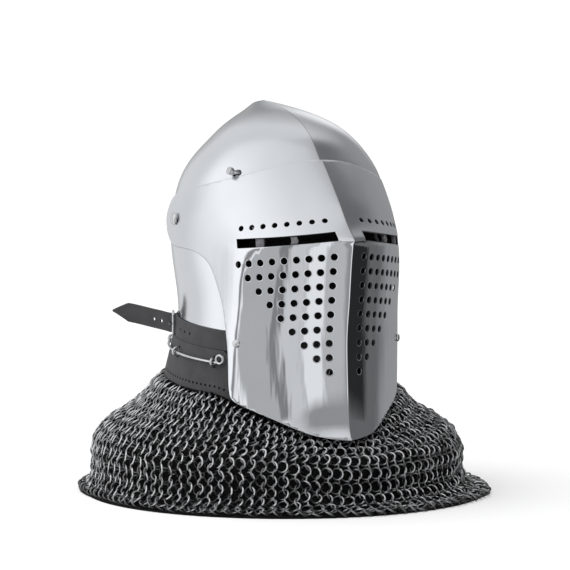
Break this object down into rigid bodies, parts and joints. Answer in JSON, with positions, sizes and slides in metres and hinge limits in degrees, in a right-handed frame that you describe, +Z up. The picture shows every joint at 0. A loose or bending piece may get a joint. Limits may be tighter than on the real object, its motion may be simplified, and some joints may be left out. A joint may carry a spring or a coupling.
{
  "type": "bascinet with hinged visor and mail aventail",
  "caption": "Ridged steel bascinet with a pierced wedge-shaped visor that turns on side rivets, a buckled leather strap, and a blackened mail skirt hung from a leather band on staples.",
  "frame": {"origin": "on the surface that the mail's hem lies on, under the middle of the whole helmet", "axes": "+Z up, the face looks along -Y, +X to the wearer's left"},
  "size_m": [0.3934, 0.4144, 0.381],
  "materials": {
    "skull_steel": "satin polish",
    "visor_steel": "bright polish",
    "fitting_steel": "polished",
    "strap_leather": "matte",
    "band_leather": "matte",
    "mail_steel": "blackened"
  },
  "bodies": {
    "helmet": {"skull": "skull_steel", "pivot_rivet_right": "fitting_steel", "pivot_rivet_left": "fitting_steel", "lock_pin": "fitting_steel", "tongue_strap": "strap_leather", "buckle_strap": "strap_leather", "buckle_frame": "fitting_steel", "buckle_prong": "fitting_steel", "aventail_band": "band_leather", "vervelle_1": "fitting_steel", "vervelle_2": "fitting_steel", "vervelle_3": "fitting_steel", "vervelle_4": "fitting_steel", "vervelle_5": "fitting_steel", "vervelle_6": "fitting_steel", "vervelle_7": "fitting_steel", "vervelle_8": "fitting_steel", "vervelle_wire": "fitting_steel", "mail_aventail": "mail_steel"},
    "visor_plate": {"visor": "visor_steel", "cheek_rivet_right": "fitting_steel", "cheek_rivet_left": "fitting_steel"}
  },
  "joints": [
    {"name": "visor_hinge", "type": "hinge", "parent": "helmet", "child": "visor_plate", "pos_m": [0, 0.00873, 0.267], "axis": [-1, 0, 0], "range_deg": [0, 60], "deforming": ["lock_pin"]}
  ]
}
